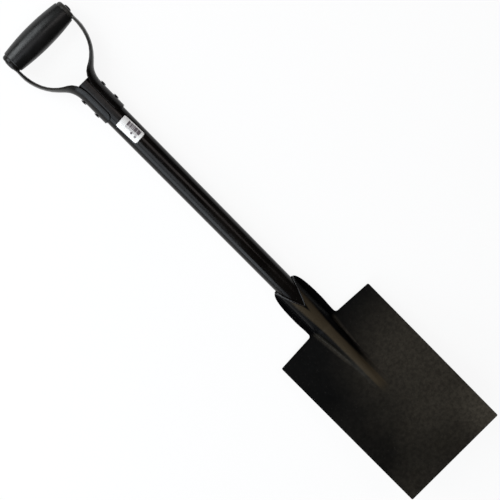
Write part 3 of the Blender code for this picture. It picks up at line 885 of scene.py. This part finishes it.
class SHOVEL_OT_make_blade(bpy.types.Operator):
    """Draws the pressed sheet of blade, frog and neck, thickens it and rounds the paint over its edges"""

    bl_idname = "shovel.make_blade"
    bl_label = "Make Blade"

    def execute(self, context):
        bm = bmesh.new()
        for side in (-1, 1):
            add_columns(bm, middle_columns(), side)
            add_columns(bm, side_columns(), side, lambda across: -BLADE_LENGTH + corner_drop(across))
        mesh = bpy.data.meshes.new("pressed_blade")
        bm.to_mesh(mesh)
        bm.free()
        blade = new_object("pressed_blade", mesh)
        tidy(blade, SHEET_MERGE)
        modify(blade, "SOLIDIFY", thickness=SHEET, offset=0, use_even_offset=True, use_quality_normals=True)
        modify(
            blade, "BEVEL", width=settings()[1].edge_rounding, segments=2, limit_method="ANGLE",
            angle_limit=math.radians(50), use_clamp_overlap=False,
        )
        settle(blade)
        shade(blade, 40)
        hand_over(blade, "blade_finish", ["blade"])
        return {"FINISHED"}


class SHOVEL_OT_make_shaft(bpy.types.Operator):
    """Draws the open steel tube, cut on the slant behind the frog"""

    bl_idname = "shovel.make_shaft"
    bl_label = "Make Shaft"

    def execute(self, context):
        self.add_wall(TUBE_RADIUS)
        tube = named("steel_tube")
        settle(tube, Matrix())
        open_mesh(tube)
        self.add_wall(TUBE_RADIUS - TUBE_WALL)
        self.cut_end(tube, Vector((0, TUBE_FRONT_END + TUBE_RADIUS, 0)), Vector((0, -1, -1)).normalized())
        self.cut_end(tube, Vector((0, TUBE_TOP, 0)), Vector((0, 1, 0)))
        close_mesh()
        tidy(tube)
        modify(
            tube, "BEVEL", width=TUBE_EDGE, segments=3, limit_method="ANGLE", angle_limit=math.radians(40),
        )
        settle(tube)
        shade(tube, 35)
        hand_over(tube, "shaft_finish", ["shaft_tube"])
        return {"FINISHED"}

    def add_wall(self, radius):
        """An open cylinder along the shaft, longer than the tube."""
        bpy.ops.mesh.primitive_cylinder_add(
            vertices=96, radius=radius, depth=BLANK_LENGTH, end_fill_type="NOTHING", calc_uvs=False,
            location=(0, BLANK_MIDDLE, 0), rotation=(math.pi / 2, 0, 0),
        )

    def cut_end(self, tube, place, away):
        """Cuts both walls along a plane, drops what lies beyond and closes the wall's end."""
        select_whole()
        bpy.ops.mesh.bisect(plane_co=place, plane_no=away, clear_outer=True, threshold=MERGE)
        bpy.ops.mesh.select_mode(type="EDGE")

        def on_the_cut(edge):
            return all(abs((vert.co - place).dot(away)) < 10 * MERGE for vert in edge.verts)

        pick(tube, "edges", on_the_cut)
        bpy.ops.mesh.bridge_edge_loops()


class SHOVEL_OT_make_neck_weld(bpy.types.Operator):
    """Lays the weld bead along the V of the neck's mouth, fuller at its ends and on the left"""

    bl_idname = "shovel.make_neck_weld"
    bl_label = "Make Neck Weld"

    def execute(self, context):
        line = bpy.data.curves.new("neck_weld", "CURVE")
        line.dimensions = "3D"
        line.bevel_depth = settings()[1].bead_radius
        line.bevel_resolution = 4
        line.use_fill_caps = True
        spline = line.splines.new("POLY")
        spline.points.add(WELD_POINTS)
        radius = SOCKET_RADIUS - SHEET / 4
        for i, angle in enumerate(steps(-WELD_REACH, WELD_REACH, WELD_POINTS)):
            across, front = radius * math.sin(angle), radius * math.cos(angle)
            ends = 0.80 * ease((abs(angle) - 1.1) / 0.4)
            left = 0.40 * ease(-angle / 0.4)
            ripple = 0.04 * math.sin(i * 0.5) + 0.03 * math.sin(i * 0.17 + 1)
            spline.points[i].co = (across, notch_top(angle) + WELD_LIFT, front, 1)
            spline.points[i].radius = 1 + ends + left + ripple
        work_on(new_object("neck_weld", line))
        bpy.ops.object.convert(target="MESH")
        weld = bpy.context.object
        tidy(weld)
        settle(weld)
        shade(weld, 60)
        hand_over(weld, "weld_finish")
        return {"FINISHED"}


class SHOVEL_OT_make_straps(bpy.types.Operator):
    """Copies the two pressed straps of the yoke, fills out their arms and rounds their edges"""

    bl_idname = "shovel.make_straps"
    bl_label = "Make Straps"

    def execute(self, context):
        cup_start = HEEL.y + GRIP_HEIGHT - CUP_RADIUS - CUP_MARGIN

        def strap_edge(edge):
            below_cup = all(vert.co.y < cup_start for vert in edge.verts)
            at_rivet = abs(edge.verts[0].co.x) > SOCKET_RADIUS - SHEET and self.near_rivet(edge)
            return below_cup and not at_rivet and edge.calc_face_angle(0.0) > SHARP_EDGE

        for side in ("left", "right"):
            node = f"yoke_strap_{side}"
            strap = copy_solid(node, f"pressed_strap_{side}")
            self.fill_out(strap, cup_start)
            open_mesh(strap, "EDGE")
            pick(strap, "edges", strap_edge)
            bpy.ops.transform.edge_bevelweight(value=1)
            close_mesh()
            modify(
                strap, "BEVEL", width=settings()[1].edge_rounding, segments=2, limit_method="WEIGHT",
                use_clamp_overlap=False,
            )
            shade(strap, 40)
            hand_over(strap, "yoke_finish", [node])
        return {"FINISHED"}

    def fill_out(self, strap, cup_start):
        """Lets the arm's surface stand proud between the tube's top and the cup, with soft ends."""
        start = HEEL.y + TUBE_TOP
        for vert in strap.data.vertices:
            share = ease((vert.co.y - start) / ARM_BLEND) * ease((cup_start - vert.co.y) / ARM_BLEND)
            vert.co += vert.normal * settings()[1].arm_paint * share

    def near_rivet(self, edge):
        """True for the edges of a rivet's hole."""
        spot = (edge.verts[0].co + edge.verts[1].co) / 2
        holes = [SHAFT @ Vector((0, height, 0)) for height in RIVET_HEIGHTS.values()]
        return any(math.hypot(spot.y - hole.y, spot.z - hole.z) < RIVET_HEAD_RADIUS for hole in holes)


class SHOVEL_OT_make_rivets(bpy.types.Operator):
    """Turns the two rivets with their low round heads"""

    bl_idname = "shovel.make_rivets"
    bl_label = "Make Rivets"

    def execute(self, context):
        seat = TUBE_RADIUS + FIT + STRAP + FIT
        size = RIVET_HEAD_RADIUS, RIVET_HEAD_HEIGHT
        for node, height in RIVET_HEIGHTS.items():
            rivet = rod(f"{node}_painted", seat, RIVET_RADIUS, size, size, 48)
            put_across(rivet, height, 50)
            hand_over(rivet, "rivet_finish", [node])
        return {"FINISHED"}


class SHOVEL_OT_make_grip(bpy.types.Operator):
    """Turns the barrel grip with its bore and its two spigots"""

    bl_idname = "shovel.make_grip"
    bl_label = "Make Grip"

    def execute(self, context):
        bore, spigot = PIN_RADIUS + FIT, CUP_RADIUS - STRAP - 2 * FIT
        flat, tip = GRIP_HALF - GRIP_EDGE, GRIP_HALF + SPIGOT_LENGTH
        barrel = [
            (x, GRIP_MID_RADIUS - (GRIP_MID_RADIUS - GRIP_END_RADIUS) * (x / GRIP_HALF) ** 2)
            for x in steps(-flat, flat, 32)
        ]
        right = corner((flat, barrel[-1][1] - GRIP_EDGE), GRIP_EDGE, 90, 0, 6)[1:]
        left = [(-x, radius) for x, radius in reversed(right)]
        profile = [(-tip, bore), (-tip, spigot), (-GRIP_HALF, spigot), *left, *barrel]
        profile += [*right, (GRIP_HALF, spigot), (tip, spigot), (tip, bore), (-tip, bore)]
        grip = turned("barrel_grip", profile, 96)
        put_across(grip, GRIP_HEIGHT, 40)
        hand_over(grip, "grip_finish", ["grip"], body="grip")
        return {"FINISHED"}


class SHOVEL_OT_make_pin(bpy.types.Operator):
    """Turns the rod through the grip, riveted over on the right, with a low wide head on the left"""

    bl_idname = "shovel.make_pin"
    bl_label = "Make Pin"

    def execute(self, context):
        left = PIN_BACK_HEAD_RADIUS, PIN_BACK_HEAD_HEIGHT
        right = PIN_HEAD_RADIUS, PIN_HEAD_HEIGHT
        pin = rod("riveted_pin", CUP_FACE + FIT, PIN_RADIUS, left, right, 64)
        put_across(pin, GRIP_HEIGHT, 50)
        hand_over(pin, "rivet_finish", ["grip_pin"])
        return {"FINISHED"}


class SHOVEL_OT_make_label(bpy.types.Operator):
    """Wraps the bare label round the front of the tube"""

    bl_idname = "shovel.make_label"
    bl_label = "Make Label"

    def execute(self, context):
        sizes = settings()[1]
        length, width, radius = sizes.label_length, sizes.label_width, TUBE_RADIUS + LABEL_LIFT
        bpy.ops.mesh.primitive_plane_add(size=1, calc_uvs=True)
        label = named("bare_label")
        open_mesh(label)
        select_whole()
        bpy.ops.transform.resize(value=(width, length, 1))
        bpy.ops.mesh.bevel(offset=LABEL_CORNER, segments=6, affect="VERTICES")
        for place in steps(-width / 2, width / 2, 24)[1:-1]:
            select_whole()
            bpy.ops.mesh.bisect(plane_co=(place, 0, 0), plane_no=(1, 0, 0), threshold=MERGE)
        close_mesh()
        for loop in label.data.loops:
            point = label.data.vertices[loop.vertex_index].co
            label.data.uv_layers[0].data[loop.index].uv = (point.x / width + 0.5, point.y / length + 0.5)
        turn = Matrix.Rotation(sizes.label_turn, 3, "Z")
        for vert in label.data.vertices:
            flat = turn @ vert.co
            angle = (flat.x + LABEL_SHIFT) / radius
            vert.co = (radius * math.sin(angle), flat.y + sizes.label_place, radius * math.cos(angle))
        modify(label, "SOLIDIFY", thickness=LABEL_THICKNESS, offset=1.0, use_even_offset=True)
        settle(label)
        shade(label, 40)
        hand_over(label, "label_stock")
        return {"FINISHED"}


class SHOVEL_OT_make_stage(bpy.types.Operator):
    """Lays the pale floor and sets the soft lights and the camera"""

    bl_idname = "shovel.make_stage"
    bl_label = "Make Stage"

    def execute(self, context):
        studio = settings()[2]
        bpy.ops.object.select_all(action="DESELECT")
        bpy.ops.mesh.primitive_plane_add(size=FLOOR_SIZE)
        floor = named("floor")
        floor.data.materials.append(pale_floor("floor_pale"))

        world = context.scene.world or bpy.data.worlds.new("room")
        context.scene.world = world
        world.use_nodes = True
        back = world.node_tree.nodes["Background"]
        back.inputs["Color"].default_value = ROOM_COLOUR
        back.inputs["Strength"].default_value = studio.world

        for name, light in LIGHTS.items():
            self.lamp(name, getattr(studio, name), *light)
        self.camera(context, studio)
        context.scene.view_settings.view_transform = "Standard"
        return {"FINISHED"}

    def lamp(self, name, power, place, along, length, width, colour):
        """A soft rectangular light that faces the shovel."""
        light = bpy.data.lights.new(name, "AREA")
        light.shape = "RECTANGLE"
        light.size, light.size_y = length, width
        light.energy = power
        light.color = colour
        back = (Vector(place) - LIT_PLACE).normalized()
        side = (Vector(along) - back * back.dot(Vector(along))).normalized()
        turn = Matrix((side, back.cross(side), back)).transposed()
        new_object(name, light).matrix_world = Matrix.Translation(place) @ turn.to_4x4()

    def camera(self, context, studio):
        """The photograph's view, from above the shaft and a little towards the handle."""
        lens = bpy.data.cameras.new("camera")
        lens.lens = studio.lens
        lens.shift_x, lens.shift_y = LENS_SHIFT
        eye = new_object("camera", lens)
        back_axis = Vector((0, math.sin(studio.tilt), math.cos(studio.tilt)))
        across, handle = Vector((1, 0, 0)), Vector((0, math.cos(studio.tilt), -math.sin(studio.tilt)))
        right = math.cos(PICTURE_TURN) * across - math.sin(PICTURE_TURN) * handle
        up = math.sin(PICTURE_TURN) * across + math.cos(PICTURE_TURN) * handle
        place = Matrix((right, up, back_axis)).transposed().to_4x4()
        place.translation = SEEN_PLACE + back_axis * studio.distance
        eye.matrix_world = SHAFT @ place
        context.scene.camera = eye


class SHOVEL_PT_panel(bpy.types.Panel):
    """Lists the shovel's sizes, colours and studio values, with a button for each piece"""

    bl_label = "Square Shovel"
    bl_space_type = "VIEW_3D"
    bl_region_type = "UI"
    bl_category = "Shovel"

    def draw(self, context):
        layout = self.layout
        for group in settings():
            box = layout.box()
            for name in group.__annotations__:
                box.prop(group, name)
        for operator in PIECES:
            layout.operator(operator.bl_idname)


PIECES = (
    SHOVEL_OT_make_blade,
    SHOVEL_OT_make_shaft,
    SHOVEL_OT_make_neck_weld,
    SHOVEL_OT_make_straps,
    SHOVEL_OT_make_rivets,
    SHOVEL_OT_make_grip,
    SHOVEL_OT_make_pin,
    SHOVEL_OT_make_label,
    SHOVEL_OT_make_stage,
)
GROUPS = {"shovel_paint": ShovelPaint, "shovel_sizes": ShovelSizes, "shovel_studio": ShovelStudio}
CLASSES = (*GROUPS.values(), *PIECES, SHOVEL_PT_panel)


def register():
    for cls in CLASSES:
        bpy.utils.register_class(cls)
    for name, group in GROUPS.items():
        setattr(bpy.types.Scene, name, PointerProperty(type=group))


def unregister():
    for name in GROUPS:
        delattr(bpy.types.Scene, name)
    for cls in reversed(CLASSES):
        bpy.utils.unregister_class(cls)


def main():
    """Builds every piece and the stage."""
    register()
    bpy.ops.shovel.make_blade()
    bpy.ops.shovel.make_shaft()
    bpy.ops.shovel.make_neck_weld()
    bpy.ops.shovel.make_straps()
    bpy.ops.shovel.make_rivets()
    bpy.ops.shovel.make_grip()
    bpy.ops.shovel.make_pin()
    bpy.ops.shovel.make_label()
    bpy.ops.shovel.make_stage()


if __name__ == "__main__":
    main()
